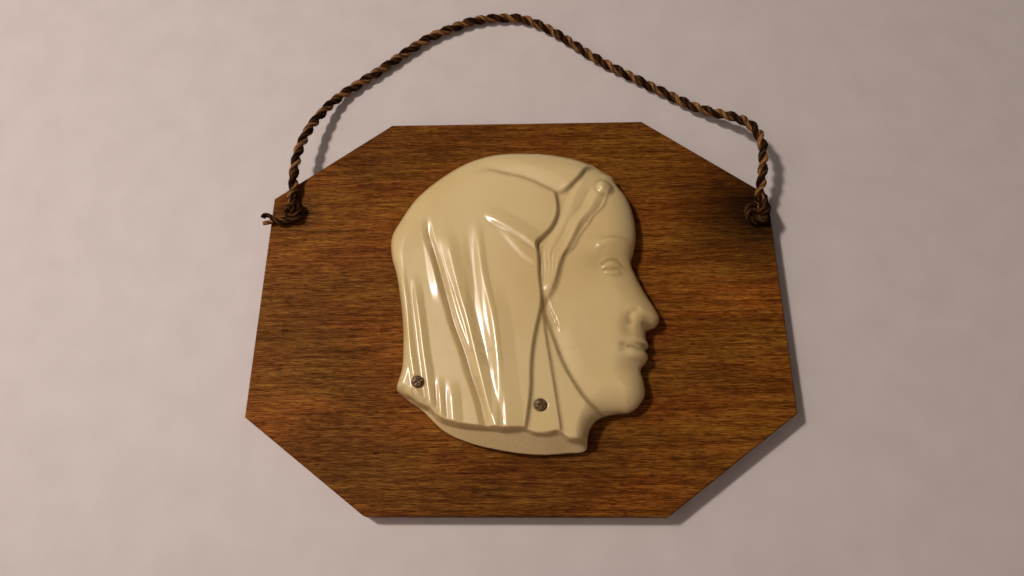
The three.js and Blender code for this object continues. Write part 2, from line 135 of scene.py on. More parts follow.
def board_wood():
    """Fine grain and a broader figure, drawn out along the board, from dark to light brown. Broad patches,
    pores, a change of redness and darker places, round the knots partly painted shadow, are multiplied in."""
    material, tree, shader = new_material("stained_wood")
    dark = (0.045, 0.012, 0.0018)
    middle = (0.168, 0.054, 0.0065)
    light = (0.345, 0.145, 0.019)
    fine = noise(tree, (200, 200, 4000), detail=3.0, roughness=0.65)
    figure = noise(tree, (34, 34, 700), detail=4.0, roughness=0.65)
    grain = mix(tree, 0.38, fine, figure)
    wood = ramp(tree, grain, [(0.36, dark), (0.5, middle), (0.64, light)])
    patches = ramp(tree, noise(tree, (18, 18, 34), detail=3.0), [(0.34, 0.82), (0.66, 1.2)])
    wood = mix(tree, 1.0, wood, patches, "MULTIPLY")
    pores = ramp(tree, noise(tree, (260, 260, 3300), detail=2.0), [(0.34, 0.2), (0.43, 1.0)])
    wood = mix(tree, 0.85, wood, pores, "MULTIPLY")
    yellower, redder = (1.0, 1.05, 1.0), (1.05, 0.9, 0.85)
    redness = ramp(tree, noise(tree, (14, 14, 60), detail=3.0), [(0.4, yellower), (0.65, redder)])
    wood = mix(tree, 1.0, wood, redness, "MULTIPLY")
    for centre, radius, shade in darker_places_and_knot_shadows:
        # each darker place multiplies the colour; round the knots this is partly painted shadow
        darkening = ramp(tree, nearness(tree, centre, radius), [(0.0, 1.0), (0.8, shade)])
        wood = mix(tree, 1.0, wood, darkening, "MULTIPLY")
    tree.links.new(wood, shader.inputs["Base Color"])
    tree.links.new(ramp(tree, grain, [(0.38, 0.65), (0.62, 0.5)]), shader.inputs["Roughness"])
    shader.inputs["Specular IOR Level"].default_value = 0.06
    bump(tree, shader, pores, strength=0.4, distance=0.0002)
    return material


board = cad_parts["backboard"]
board.data.materials.clear()
board.data.materials.append(board_wood())


# The bust is one moulding in glossy ivory-coloured plastic with an upright edge, flat on the board. Its veil,
# hair and face are modelled in the mould. It is browned along the edges of the cloth and hair, in its hollows
# and round the screws, partly by dirt and partly by painted shade, and below the hem and down its edge by
# painted shade.

share = 1.34 * MM  # a hundredth of the bust's height, the measure of its lines
relief_low, relief_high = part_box("madonna_relief")
left_reach, low_reach = 43.5, 50  # from its centre to the ends of its outline, in that measure
bust_x = relief_low[0] + left_reach * share
bust_z = relief_low[2] + low_reach * share
bust_back = -relief_high[1]
bust_wall = 3.2 * MM
bust_body = 7.8 * MM  # from the top of its edge to the plain surface in its middle
side_rounding = 4 * MM
crown_rounding = 13 * MM
face_rounding = 14 * MM
rim_slope = 8 * MM  # the width of the straight slope at the edge below the hem
veil_rise = 1.6 * MM
hair_rise = 1.2 * MM
inner_veil_rise = 0.6 * MM
jaw_rise = 1.0 * MM
veil_fall = 3.2 * MM  # how much lower the veil lies at its back edge

# Where each form begins and is complete, across or up from the bust's centre, in hundredths of its height.
crown_change = (4, 30)
face_change = (7.5, 30)
veil_fall_change = (-42, 5)
inner_veil_end = (-12, -6)
hair_strands_start = (-6, 0)
hair_strands_fade = (6, 16)

hair_strands = 6
hair_strand_rise = 0.07 * MM
hair_strand_sway = 1.5  # of their phase, in radians
hair_strand_sway_rate = 0.45  # in radians for each hundredth of the bust's height
hair_strand_loss = 0.9  # the share of their rise that they lose where they fade
hair_least_width = 0.2  # keeps them apart where the hair comes to a point
curl_place = (25.2, 33.4)
curl_rise, curl_radius = 1.6 * MM, 2.3
curl_furrow_depth, curl_furrow_radius, curl_furrow_width = 0.35 * MM, 3, 0.8
line_step = 1.2 * MM  # between the points that a line on the bust is cut into


def curve_through(points, steps=16):
    """A smooth line through points: between two of them a cubic that leaves and arrives along the directions
    that its neighbours give, weighted by the square roots of the distances."""
    p = np.array(points, float)
    p = np.vstack([2 * p[0] - p[1], p, 2 * p[-1] - p[-2]])
    gap = np.sqrt(np.linalg.norm(np.diff(p, axis=0), axis=1))[:, None]
    before, span, after = gap[:-2], gap[1:-1], gap[2:]
    a, b, c, d = p[:-3], p[1:-2], p[2:-1], p[3:]
    leave = ((b - a) / before - (c - a) / (before + span) + (c - b) / span) * span
    arrive = ((c - b) / span - (d - b) / (span + after) + (d - c) / after) * span
    t = np.linspace(0, 1, steps, endpoint=False)[:, None, None]
    square = 3 * (c - b) - 2 * leave - arrive
    cube = 2 * (b - c) + leave + arrive
    line = b + leave * t + square * t**2 + cube * t**3
    return np.vstack([line.transpose(1, 0, 2).reshape(-1, p.shape[1]), p[-2]])


def line_length(line):
    return float(np.linalg.norm(np.diff(line, axis=0), axis=1).sum())


def evenly(line, count):
    """Points at even distances along a line."""
    length = np.concatenate([[0], np.cumsum(np.linalg.norm(np.diff(line, axis=0), axis=1))])
    stops = np.linspace(0, length[-1], count)
    return np.stack([np.interp(stops, length, column) for column in line.T], 1)


def on_bust(points):
    """Points given in hundredths of the bust's height, from its centre, in metres on the board."""
    return np.array(points, float) * share + (bust_x, bust_z)


def bust_line(points):
    """A smooth line through points on the bust, cut into even pieces."""
    line = curve_through(on_bust(points))
    return evenly(line, 2 + int(line_length(line) / line_step))


def beside(line, x, z):
    """How far each place is off a line, positive on the left of its direction, in hundredths of the bust's
    height, and how far along it, from 0 to 1: both from the nearest of the line's straight pieces."""
    nearest = np.full(x.shape, np.inf)
    off = np.zeros(x.shape)
    along = np.zeros(x.shape)
    pieces = len(line) - 1
    for i in range(pieces):
        (ax, az), (bx, bz) = line[i], line[i + 1]
        dx, dz = bx - ax, bz - az
        t = np.clip(((x - ax) * dx + (z - az) * dz) / (dx * dx + dz * dz), 0, 1)
        far = np.hypot(x - ax - t * dx, z - az - t * dz)
        left = np.where(dx * (z - az) - dz * (x - ax) >= 0, 1.0, -1.0)
        closer = far < nearest
        nearest = np.where(closer, far, nearest)
        off = np.where(closer, far * left, off)
        along = np.where(closer, (i + t) / pieces, along)
    return off / share, along


def smooth(low, high, value):
    """0 below low, 1 above high, and a smooth rise between them."""
    t = np.clip((value - low) / (high - low), 0, 1)
    return t * t * (3 - 2 * t)


# The face is drawn in its own measures: down from the hairline to the chin, and out from the upright plane
# that the forehead touches, both as shares of the face's height.
face_top = (35.3, 36.6)
face_height = 75
face_tilt = math.radians(1.5)


def on_face(points):
    """Points given down and out on the face, in hundredths of the bust's height from its centre."""
    down, out = np.array(points, float).T
    x = face_top[0] + face_height * (out * math.cos(face_tilt) - down * math.sin(face_tilt))
    z = face_top[1] - face_height * (down * math.cos(face_tilt) + out * math.sin(face_tilt))
    return np.stack([x, z], 1)


profile = on_face([
    (1.0, -0.09), (0.995, -0.05), (0.97, -0.012), (0.925, 0.014), (0.875, 0.012), (0.825, 0.002),
    (0.785, 0.028), (0.762, 0.032), (0.745, 0.02), (0.728, 0.037), (0.7, 0.028), (0.662, 0.03),
    (0.642, 0.066), (0.615, 0.084), (0.58, 0.073), (0.5, 0.028), (0.42, -0.008), (0.365, -0.024),
    (0.31, -0.01), (0.24, 0), (0.14, -0.01), (0.06, -0.036),
])
back_outline = [
    (5, -50), (-2.1, -49.5), (-10.5, -48.1), (-16.8, -46.5), (-24.1, -43.3), (-31.2, -36.9), (-36.5, -33.2),
    (-38.9, -31), (-38.6, -29.4), (-37.6, -25.3), (-37.5, -19.4), (-38.1, -11.1), (-39.6, -1.4), (-41.3, 6.3),
    (-43.1, 12.2), (-43.5, 18.8), (-41, 24.7), (-36.1, 32.9), (-27.7, 40.7), (-18.8, 46.1), (-9.1, 48.6),
    (3.7, 48.6),
]
front_outline = [
    (5, -50), (11, -49.5), (16.7, -48.7), (17.4, -45.6), (18.2, -42.9), (20.1, -40.3), (22.6, -39),
    *profile, (29.6, 36.8), (28.5, 39.5), (26, 41.2), (21, 44.2), (16.4, 46.1), (9.4, 47.8), (3.7, 48.6),
]

# Each layer of cloth and hair is on the left of its line, which runs up from the hem. The face is on the left
# of the jaw's line, and all above the hem is on the left of the hem's.
veil_line = bust_line([
    (-0.6, -46), (-0.1, -42.2), (0.6, -37.2), (1.1, -31.8), (1.3, -24.7), (2.1, -17.8), (3.4, -11.6),
    (4.3, -7.7), (4.5, -4), (3.9, 1.9), (3.8, 6.2), (3.6, 10), (3.1, 13.3), (5, 15.6), (7.6, 18.4),
    (9.3, 21.8), (9.9, 25.2), (9.6, 28.8), (9.4, 31.2), (12.1, 31.9), (15, 34.4), (17.3, 37.2), (19.2, 40.2),
    (21.5, 41.9), (26, 41.4),
])
inner_veil_line = bust_line([(9.5, -47), (9.3, -42.5), (8.3, -35), (7, -25.9), (5.6, -16.6), (4.6, -7.5)])
hair_line = bust_line([
    (24, -41), (17.6, -36.6), (13.4, -30.5), (10.6, -25.2), (7.7, -17), (5, -6.8), (8.3, -1.4), (9.7, 3.5),
    (11.6, 9.7), (14.5, 12.9), (16, 16.2), (19.3, 21), (20.8, 23.4), (23.8, 26.5), (25, 29.9), (26.6, 33.3),
    (29, 36.5),
])
jaw_line = bust_line([(10, -15), (15, -28), (22, -34), (30, -37.5)])
hem_line = bust_line([
    (-42, -33.5), (-38.5, -33), (-34.8, -33.8), (-31.8, -36), (-28.4, -37.6), (-25.3, -40.5), (-21.2, -42),
    (-16.1, -42.9), (-9.5, -43.6), (-6.6, -43.9), (-4.1, -43.8), (-1.6, -43.7), (0.1, -44), (0.9, -44.6),
    (3.5, -45.2), (6.5, -44.9), (8.8, -44.4), (10.2, -45.4), (12.1, -46.6), (17, -46.4), (20, -46),
])

# Folds of the veil: a line from its lower to its upper end, a rise or a furrow, the half widths to its left
# and right, all in hundredths, and the shares of its length over which it dies out at its two ends. A rise or
# a width that changes along the line has several values, from the lower to the upper end.
folds = [
    ([(-11.7, -43), (-13.6, -35.3), (-16.3, -27.5), (-18.3, -21), (-21.7, -12), (-23.5, -6), (-26.4, 4.3),
      (-28.6, 10.7), (-30.3, 15.8), (-31.2, 20.1), (-31.7, 24.9)], -1.2, 1.5, 1.2, 0, 0.2),
    ([(-25.6, -7), (-27.1, -1.1), (-28.1, 3.3), (-28.9, 7.8), (-29.7, 12.3), (-31, 18)],
     0.42, 2.0, 1.0, 0.35, 0.2),
    ([(-8.9, -43.6), (-10.9, -37.4), (-13, -29.6), (-15.1, -21.5), (-17.4, -12), (-20, -3.7), (-22, 4),
      (-23.4, 10.2), (-24.7, 15.3), (-25.6, 20)],
     (0.7, 0.8, 0.7, 0.68), (0.9, 0.9, 1.0, 2.9), 2.6, 0, 0.14),
    ([(-10.9, -27.9), (-12.5, -20.7), (-15.3, -11), (-16.3, 1.2), (-18, 13.8), (-19.6, 24.3)],
     -0.45, 2.0, 2.0, 0.1, 0.4),
    ([(-8.4, -43.1), (-8.3, -33.5), (-8.7, -24.6), (-9.9, -14.3), (-11.6, -4.8), (-13.6, 5.1), (-14.9, 15.2),
      (-16, 22.2)],
     (0.35, 0.45, 0.5, 0.48, 0.42, 0.38), (1.2, 1.9, 2.4, 2.2, 1.6, 1.4), 1.3, 0, 0.15),
    ([(-5.7, -43), (-6.3, -35.5), (-7.4, -26.6), (-8.4, -17.5), (-9.5, -10.1), (-11.1, -1.6), (-12, 3)],
     0.6, 1.6, 4.2, 0, 0.35),
    ([(-31.3, -36.8), (-32.8, -28.9), (-34.4, -20.8), (-35.9, -12.4), (-37.5, -2.7), (-39.3, 7.4)],
     0.6, 0.9, 1.4, 0, 0.2),
    ([(-27.8, -36), (-29, -29.1), (-30.5, -21), (-31.7, -13.7), (-33, -6.2), (-34.1, 0.3), (-34.8, 4)],
     0.8, 1.0, 1.8, 0, 0.25),
    ([(-24.3, -42), (-25.2, -33.3), (-26, -28)], 0.6, 0.8, 1.6, 0, 0.5),
    ([(-20.7, -42.5), (-21.4, -36.2), (-22.2, -29)], 0.6, 1.6, 2.2, 0, 0.5),
    ([(3, 12.4), (1.3, 13.6), (-1.4, 15.9), (-5.3, 18.7), (-9.2, 21.1), (-11.2, 22.5), (-14.1, 25.8)],
     0.6, 1.2, 3.5, 0, 0.35),
    ([(2.5, 7.1), (-0.2, 9.4), (-3.3, 13), (-6.8, 17.5), (-9.6, 20.7)], 0.25, 1.4, 2.6, 0, 0.45),
    ([(9.4, 31.5), (8, 32.3), (2.6, 35.4), (-1.4, 37.1), (-5.5, 38.3), (-12.5, 40), (-20, 39)],
     -1.1, 1.2, 4.5, 0, 0.5),
]

# Locks of the hair, in the same measures: two broad ones that run up to the top of the forehead, and a
# furrow under one of them.
locks = [
    ([(4.8, -6), (6, -4.7), (7.9, 0.3), (10.2, 8.2), (13.8, 14.9), (16.1, 20.3), (20.1, 25.5), (22.9, 30.8),
      (26.1, 36.5)], (1.1, 1.1, 1.0, 0.4), 2.6, 1.6, 0, 0.1),
    ([(4.9, -4), (5.8, 3.3), (7.4, 10.2), (10.3, 17.3), (13.7, 24.5), (16.1, 31.2), (19.5, 37.6)],
     0.45, 2.0, 2.2, 0, 0.1),
    ([(10.4, 5), (14.3, 13.9), (16, 17.4), (18.3, 21.6), (21, 24.6)], -0.25, 0.8, 0.8, 0.3, 0.4),
]

# Swellings and hollows of the face: down and out on it, half their width and height, as shares of its height,
# and a rise, in hundredths of the bust's.
face_forms = [
    ("forehead", 0.17, -0.17, 0.15, 0.15, 0.6),
    ("brow", 0.32, -0.1, 0.12, 0.03, 0.7),
    ("socket", 0.395, -0.1, 0.09, 0.05, -1.9),
    ("eye", 0.402, -0.105, 0.045, 0.032, 1.4),
    ("cheek", 0.56, -0.2, 0.22, 0.16, 0.6),
    ("wing of the nose", 0.625, -0.002, 0.045, 0.038, 0.9),
    ("fold of the cheek", 0.665, -0.052, 0.025, 0.045, -0.6),
    ("upper lip", 0.722, -0.004, 0.05, 0.014, 0.7),
    ("lower lip", 0.776, -0.01, 0.045, 0.016, 0.7),
    ("corner of the mouth", 0.75, -0.07, 0.02, 0.02, -0.6),
    ("hollow under the lip", 0.825, -0.03, 0.045, 0.022, -0.5),
    ("chin", 0.91, -0.04, 0.06, 0.05, 0.7),
]

# Finer lines of the face: points down and out on it, a rise or a furrow, and a half width, in hundredths.
face_lines = [
    ("crease of the upper lid", [(0.408, -0.158), (0.386, -0.13), (0.376, -0.095), (0.388, -0.064)],
     -0.5, 0.7),
    ("upper lid", [(0.421, -0.155), (0.404, -0.125), (0.398, -0.095), (0.406, -0.066)], 0.5, 0.8),
    ("edge of the upper lid", [(0.426, -0.152), (0.424, -0.125), (0.42, -0.095), (0.416, -0.066)], -0.6, 0.5),
    ("lower lid", [(0.432, -0.145), (0.44, -0.12), (0.438, -0.092), (0.43, -0.07)], 0.4, 0.7),
    ("eyebrow", [(0.338, -0.18), (0.306, -0.13), (0.3, -0.07), (0.318, -0.025)], 0.4, 1.1),
    ("back of the wing", [(0.588, 0), (0.606, -0.032), (0.634, -0.046), (0.664, -0.03)], -0.35, 1.3),
    ("nostril", [(0.655, 0.002), (0.65, 0.02), (0.65, 0.038)], -0.6, 0.8),
    ("mouth", [(0.745, 0.03), (0.75, -0.01), (0.747, -0.04), (0.752, -0.066)], -0.75, 0.6),
]


crest_width = 0.35  # of a ridge's rounded crest, as a share of its narrower side
flank_curve = 1.2  # above 1, a ridge's flanks run out softly at their foot


def ridge(line, x, z, rise, left, right, low_end, high_end):
    """A ridge or furrow along a line, with a rounded crest and a side of its own width to the left and right,
    dying out over the given shares of its length. Several rises or widths follow each other along it."""
    off, along = beside(line, x, z)
    rise, left, right = (
        np.interp(along, np.linspace(0, 1, np.size(values)), np.atleast_1d(values))
        for values in (rise, left, right))
    crest = crest_width * np.minimum(left, right)
    slope = np.clip(1 - (np.hypot(off, crest) - crest) / np.where(off > 0, left, right), 0, None)
    ends = (1 - smooth(1 - high_end, 1, along)) * (smooth(0, low_end, along) if low_end else 1)
    return rise * share * slope**flank_curve * ends


def step(line, x, z, softness):
    """0 on the right of a line and 1 on its left, with a smooth rise over its softness on both sides."""
    return smooth(-softness, softness, beside(line, x, z)[0])


screw_nodes = ("screw_left", "screw_middle")
head_height = 1.4 * MM
seat_edge = 1.25  # the outer radius of the slope round a screw's seat, in radii of its head


def screw_place(name):
    """The middle of a screw's head from the front, its radius, and how far out its top and its tip are."""
    low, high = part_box(name)
    return (low[0] + high[0]) / 2, (low[2] + high[2]) / 2, (high[0] - low[0]) / 2, -low[1], -high[1]


def face_relief(x, z):
    """Each swelling or hollow of the face is a round bulge drawn out across or up; the finer lines are small
    ridges and furrows."""
    relief = np.zeros(x.shape)
    reach = face_height * share
    for _, down, out, wide, tall, rise in face_forms:
        (middle_x, middle_z), = on_bust(on_face([(down, out)]))
        away = np.hypot((x - middle_x) / (wide * reach), (z - middle_z) / (tall * reach))
        relief += rise * share * np.exp(-away**2)
    for _, points, rise, width in face_lines:
        relief += ridge(bust_line(on_face(points)), x, z, rise, width, width, low_end=0.15, high_end=0.2)
    return relief


def hair_relief(x, z):
    """The locks, with fine swaying strands that share out the width between hairline and veil."""
    relief = np.zeros(x.shape)
    for points, *form in locks:
        relief += ridge(bust_line(points), x, z, *form)
    up = (z - bust_z) / share
    from_hairline = np.abs(beside(hair_line, x, z)[0])
    from_veil = np.abs(beside(veil_line, x, z)[0])
    between = from_hairline / (from_hairline + from_veil + hair_least_width)
    sway = hair_strand_sway * np.sin(hair_strand_sway_rate * up)
    strands = np.cos(2 * math.pi * hair_strands * between + sway)
    return relief + hair_strand_rise * strands * (1 - hair_strand_loss * smooth(*hair_strands_fade, up))


def curl_relief(x, z):
    """A round knob with a furrow round it."""
    (middle_x, middle_z), = on_bust([curl_place])
    away = np.hypot(x - middle_x, z - middle_z) / share
    furrow = np.exp(-((away - curl_furrow_radius) / curl_furrow_width) ** 2)
    return curl_rise * np.exp(-(away / curl_radius) ** 3) - curl_furrow_depth * furrow


def press_seats(x, z, height):
    """Lowers a surface to a flat seat under each screw's head, with a smooth slope round it."""
    for name in screw_nodes:
        screw_x, screw_z, radius, head_top, _ = screw_place(name)
        ring = np.hypot(x - screw_x, z - screw_z) / radius
        seat = head_top - head_height - bust_back
        pressed = seat + (height - seat) * smooth(1.0, seat_edge, ring)
        height = np.where(height > seat, pressed, height)
    return height


def bust_surface(x, z, outline):
    """Height of the bust above its flat back: a plain middle with quarter-round edges, which are straight
    slopes below the hem. On it the layers of cloth and hair stand up past their lines, the veil falls to its
    back edge, and the folds, the hair and the face have their own relief."""
    inside = np.abs(beside(outline, x, z)[0]) * share
    across, up = (x - bust_x) / share, (z - bust_z) / share
    rounding = side_rounding + (crown_rounding - side_rounding) * smooth(*crown_change, up)
    rounding += (face_rounding - rounding) * smooth(*face_change, across)
    rounded = np.sqrt(1 - (1 - np.minimum(inside / rounding, 1)) ** 2)
    sloped = np.minimum(inside / rim_slope, 1)

    on_veil = step(veil_line, x, z, softness=0.65)
    on_hair = step(hair_line, x, z, softness=0.55)
    inner_veil = step(inner_veil_line, x, z, softness=0.35) * (1 - smooth(*inner_veil_end, up))
    jaw = step(jaw_line, x, z, softness=3.7)
    above_hem = step(hem_line, x, z, softness=0.5)
    bare = 1 - on_hair
    in_hair = (1 - on_veil) * on_hair * smooth(*hair_strands_start, up)

    layers = veil_rise * on_veil + hair_rise * on_hair + inner_veil_rise * np.maximum(on_veil, inner_veil)
    height = bust_body + layers * above_hem + jaw_rise * jaw * bare
    height -= veil_fall * (1 - smooth(*veil_fall_change, across)) * on_veil
    for points, *form in folds:
        height += ridge(bust_line(points), x, z, *form) * on_veil * above_hem
    height += face_relief(x, z) * bare + hair_relief(x, z) * in_hair + curl_relief(x, z)
    roundness = sloped + (rounded - sloped) * above_hem
    return press_seats(x, z, bust_wall + height * roundness)


def blurred(height, passes):
    """Each value replaced, some times over, by the mean of itself and its four neighbours."""
    for _ in range(passes):
        edge = np.pad(height, 1, mode="edge")
        sides = edge[:-2, 1:-1] + edge[2:, 1:-1] + edge[1:-1, :-2] + edge[1:-1, 2:]
        height = (edge[1:-1, 1:-1] + sides) / 5
    return height


# How dark the plastic is made, partly by dirt and partly by painted shade: in hollows, in bands below the
# edges and round the screws. It is painted shade only below the hem and down the upright edge to the board.
dirt_and_shade_in_hollows = 0.4
full_hollow = 0.12 * MM  # a hollow this deep is darkened in full
painted_shade_below_hem = 0.34
dirt_and_shade_at_screws = 0.4
dark_ring, dark_ring_width = 1.04, 0.06  # in radii of a screw's head
painted_shade_at_back = 0.7
band_fade = 0.06  # the share of its line over which a band of dirt begins or ends
long_groove = bust_line(folds[0][0])

# Bands of dirt and painted shade: a line, how far to its right the band lies and its half width, both in
# hundredths, how strong it is, and at which share of the line's length it ends.
dirt_and_shade_bands = [
    (veil_line, 0.6, 0.5, 0.55, 0.78),
    (hair_line, 0.6, 0.55, 0.7, 0.94),
    (inner_veil_line, 0.4, 0.55, 0.65, 0.94),
    (hem_line, 0.5, 0.6, 0.4, 0.94),
    (long_groove, 0.0, 1.1, 0.33, 0.8),
]


def dirt_and_painted_shade(x, z, height):
    """How much each place is darkened, partly by dirt and partly by painted shade: in narrow bands just below
    the edges of the cloth and hair, a little in the long groove, in every small hollow and round the screws.
    Below the hem it is painted shade."""
    dirt_and_shade = np.clip((blurred(height, passes=5) - height) / full_hollow, 0, 1) * dirt_and_shade_in_hollows
    dirt_and_shade = np.maximum(dirt_and_shade, painted_shade_below_hem * (1 - step(hem_line, x, z, softness=0.8)))
    for line, shift, width, strength, end in dirt_and_shade_bands:
        off, along = beside(line, x, z)
        ends = smooth(0.0, band_fade, along) * (1 - smooth(end, end + band_fade, along))
        dirt_and_shade = np.maximum(dirt_and_shade, strength * ends * np.exp(-((off + shift) / width) ** 2))
    for name in screw_nodes:
        screw_x, screw_z, radius, _, _ = screw_place(name)
        ring = np.hypot(x - screw_x, z - screw_z) / radius
        dirt_and_shade = np.maximum(dirt_and_shade, dirt_and_shade_at_screws * np.exp(-((ring - dark_ring) / dark_ring_width) ** 2))
    return dirt_and_shade


def new_piece(name, points, faces, material):
    """A smooth mesh object from an array of points and an array of faces with four corners."""
    mesh = bpy.data.meshes.new(name)
    mesh.vertices.add(len(points))
    mesh.vertices.foreach_set("co", np.asarray(points, np.float32).ravel())
    mesh.loops.add(faces.size)
    mesh.loops.foreach_set("vertex_index", faces.astype(np.int32).ravel())
    mesh.polygons.add(len(faces))
    mesh.polygons.foreach_set("loop_start", np.arange(0, faces.size, 4, dtype=np.int32))
    mesh.update(calc_edges=True)
    mesh.polygons.foreach_set("use_smooth", np.full(len(faces), True))
    mesh.materials.append(material)
    piece = bpy.data.objects.new(name, mesh)
    bpy.context.scene.collection.objects.link(piece)
    return piece


def patchwork(ids):
    """Faces between the neighbours in an array of point numbers, whose last two dimensions are the rows and
    columns of a patch."""
    corners = [ids[..., :-1, :-1], ids[..., :-1, 1:], ids[..., 1:, 1:], ids[..., 1:, :-1]]
    return np.stack(corners, -1).reshape(-1, 4)


def give(piece, name, values):
    """Keeps one number for each point of a piece, for its material to read."""
    layer = piece.data.attributes.new(name, "FLOAT", "POINT")
    layer.data.foreach_set("value", np.asarray(values, np.float32).ravel())


def close_up(piece):
    """Merges points that lie on each other, and turns every face outwards."""
    work = bmesh.new()
    work.from_mesh(piece.data)
    bmesh.ops.remove_doubles(work, verts=work.verts, dist=1e-7)
    bmesh.ops.dissolve_degenerate(work, edges=work.edges, dist=1e-8)
    bmesh.ops.recalc_face_normals(work, faces=work.faces)
    work.to_mesh(piece.data)
    work.free()


def ivory_plastic():
    """Pale, unevenly yellowed plastic with a gloss. Speckled brown from the points' dirt and painted shade
    darkens it and takes the gloss away.
    """
    material, tree, shader = new_material("ivory_plastic")
    cloudy = noise(tree, (26, 26, 26), detail=3.0)
    pale, yellowed, brown = (0.735, 0.578, 0.288), (0.675, 0.5, 0.22), (0.2, 0.095, 0.028)
    clean = ramp(tree, cloudy, [(0.35, pale), (0.7, yellowed)])
    dirt_and_shade = add(tree, "Attribute", attribute_name="dirt_and_shade").outputs["Fac"]
    specks = ramp(tree, noise(tree, (800, 800, 800), detail=3.0), [(0.3, 0.7), (0.7, 1.0)])
    # dirt and painted shade, broken into specks
    grime_and_shade = mix(tree, 1.0, dirt_and_shade, specks, "MULTIPLY")
    plastic = mix(tree, grime_and_shade, clean, brown)
    tree.links.new(plastic, shader.inputs["Base Color"])
    tree.links.new(ramp(tree, grime_and_shade, [(0.0, 0.3), (0.8, 0.65)]), shader.inputs["Roughness"])
    shader.inputs["Coat Weight"].default_value = 0.6
    shader.inputs["Coat Roughness"].default_value = 0.17
    shader.inputs["Subsurface Weight"].default_value = 0.12
    shader.inputs["Subsurface Radius"].default_value = (0.004, 0.0025, 0.001)
    shader.inputs["Subsurface Scale"].default_value = 0.5
    bump(tree, shader, noise(tree, (150, 150, 150), detail=4.0), strength=0.1, distance=0.0006)
    return material


def bust():
    """A grid between the outline's back and its front, each cut into even pieces, raised to the bust's
    surface and closed by its upright edge and flat back."""
    rows, columns = 320, 300
    back_points, front_points = 120, 200
    back = evenly(curve_through(on_bust(back_outline)), rows + 1)
    front = evenly(curve_through(on_bust(front_outline)), rows + 1)
    outline = np.vstack([evenly(back, back_points)[::-1], evenly(front, front_points)])
    across = np.linspace(0, 1, columns + 1)[None, :, None]
    flat = back[:, None] * (1 - across) + front[:, None] * across
    x, z = flat[..., 0], flat[..., 1]
    height = bust_surface(x, z, outline)
    rim = np.ones(x.shape, bool)
    rim[1:-1, 1:-1] = False
    height[rim] = bust_wall

    surface = np.stack([x, -(bust_back + height), z], -1)
    ends = np.stack([back, front], 1)
    base = np.stack([ends[..., 0], np.full(ends.shape[:2], -bust_back), ends[..., 1]], -1)
    points = np.vstack([surface.reshape(-1, 3), base.reshape(-1, 3)])
    top = np.arange(x.size).reshape(x.shape)
    low = x.size + np.arange(2 * (rows + 1)).reshape(rows + 1, 2)
    faces = np.vstack([
        patchwork(top),
        patchwork(np.stack([low[:, 0], top[:, 0]], 1)),
        patchwork(np.stack([top[:, -1], low[:, 1]], 1)),
        patchwork(low[:, ::-1]),
    ])
    piece = new_piece("moulded_bust", points, faces, ivory_plastic())
    # How dark each point is made, by dirt and painted shade. The flat back and the foot of the upright edge
    # take the painted shade at the back.
    dirt_and_shade = dirt_and_painted_shade(x, z, height)
    give(piece, "dirt_and_shade", np.concatenate([dirt_and_shade.ravel(), np.full(low.size, painted_shade_at_back)]))
    close_up(piece)
    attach(piece, "root")
    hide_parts("madonna_relief")


bust()


# Two small slotted brass screws hold the bust on the board. Each has a low domed head, dull and brown with
# age, sunk a little into its seat.

def tarnished_brass():
    """Brown tarnish in patches, worn through to dull brass between them."""
    material, tree, shader = new_material("tarnished_brass")
    patchy = noise(tree, (1500, 1500, 1500), detail=4.0)
    brown, worn = (0.03, 0.015, 0.006), (0.26, 0.16, 0.075)
    tarnish = ramp(tree, patchy, [(0.36, brown), (0.6, worn)])
    tree.links.new(tarnish, shader.inputs["Base Color"])
    tree.links.new(ramp(tree, patchy, [(0.35, 0.8), (0.65, 0.42)]), shader.inputs["Roughness"])
    shader.inputs["Metallic"].default_value = 0.6
    bump(tree, shader, patchy, strength=0.5, distance=0.0001)
    return material


shank = 1.2 * MM
slot_width = 0.7 * MM
slot_depth = 0.65 * MM
slot_turns = (25, 50)  # in degrees
head_edge = 0.45  # the share of the head's height that its edge takes up, below the dome
underside = 0.98  # its radius, as a share of the head's
bevel = 0.1 * MM  # the height over which the underside widens to the head
crowding = 0.8  # below 1, the dome's points stand closer together towards its edge


def screw(name, slot_turn):
    """A turned profile, carried round its axis, whose points above the slot's floor are lowered to it where
    they are within half the slot's width of the head's diameter."""
    centre_x, centre_z, radius, head_top, tip = screw_place(name)
    under = head_top - head_height
    dome_points, turn_points = 40, 181
    r = np.linspace(1, 0, dome_points) ** crowding
    dome = under + head_height * (head_edge + (1 - head_edge) * np.sqrt(1 - r**2))
    profile_r = np.concatenate([[0, shank, shank, radius * underside, radius], radius * r])
    profile_h = np.concatenate([[tip, tip + shank, under, under, under + bevel], dome])
    turn = np.linspace(0, 2 * math.pi, turn_points)[None, :]
    x = profile_r[:, None] * np.cos(turn)
    z = profile_r[:, None] * np.sin(turn)
    h = np.repeat(profile_h[:, None], turn.size, 1)
    off_slot = np.abs(z * math.cos(slot_turn) - x * math.sin(slot_turn))
    floor = head_top - slot_depth
    h = np.where((off_slot < slot_width / 2) & (h > floor), floor, h)
    points = np.stack([centre_x + x, -h, centre_z + z], -1).reshape(-1, 3)
    ids = np.arange(x.size).reshape(x.shape)
    piece = new_piece(name + "_head", points, patchwork(ids), brass)
    close_up(piece)
    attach(piece, "root")
    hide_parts(name)


brass = tarnished_brass()
for name, slot_turn in zip(screw_nodes, slot_turns):
    screw(name, math.radians(slot_turn))


# The hanging cord is twisted from one dark brown and one tan strand, each of five soft yarns that turn the
# other way. It is stiff enough to keep its bends: it leaves the left knot in front of the board, lies back
# against the wall over the board and comes forward to the right knot. Loose fibres stand off it.

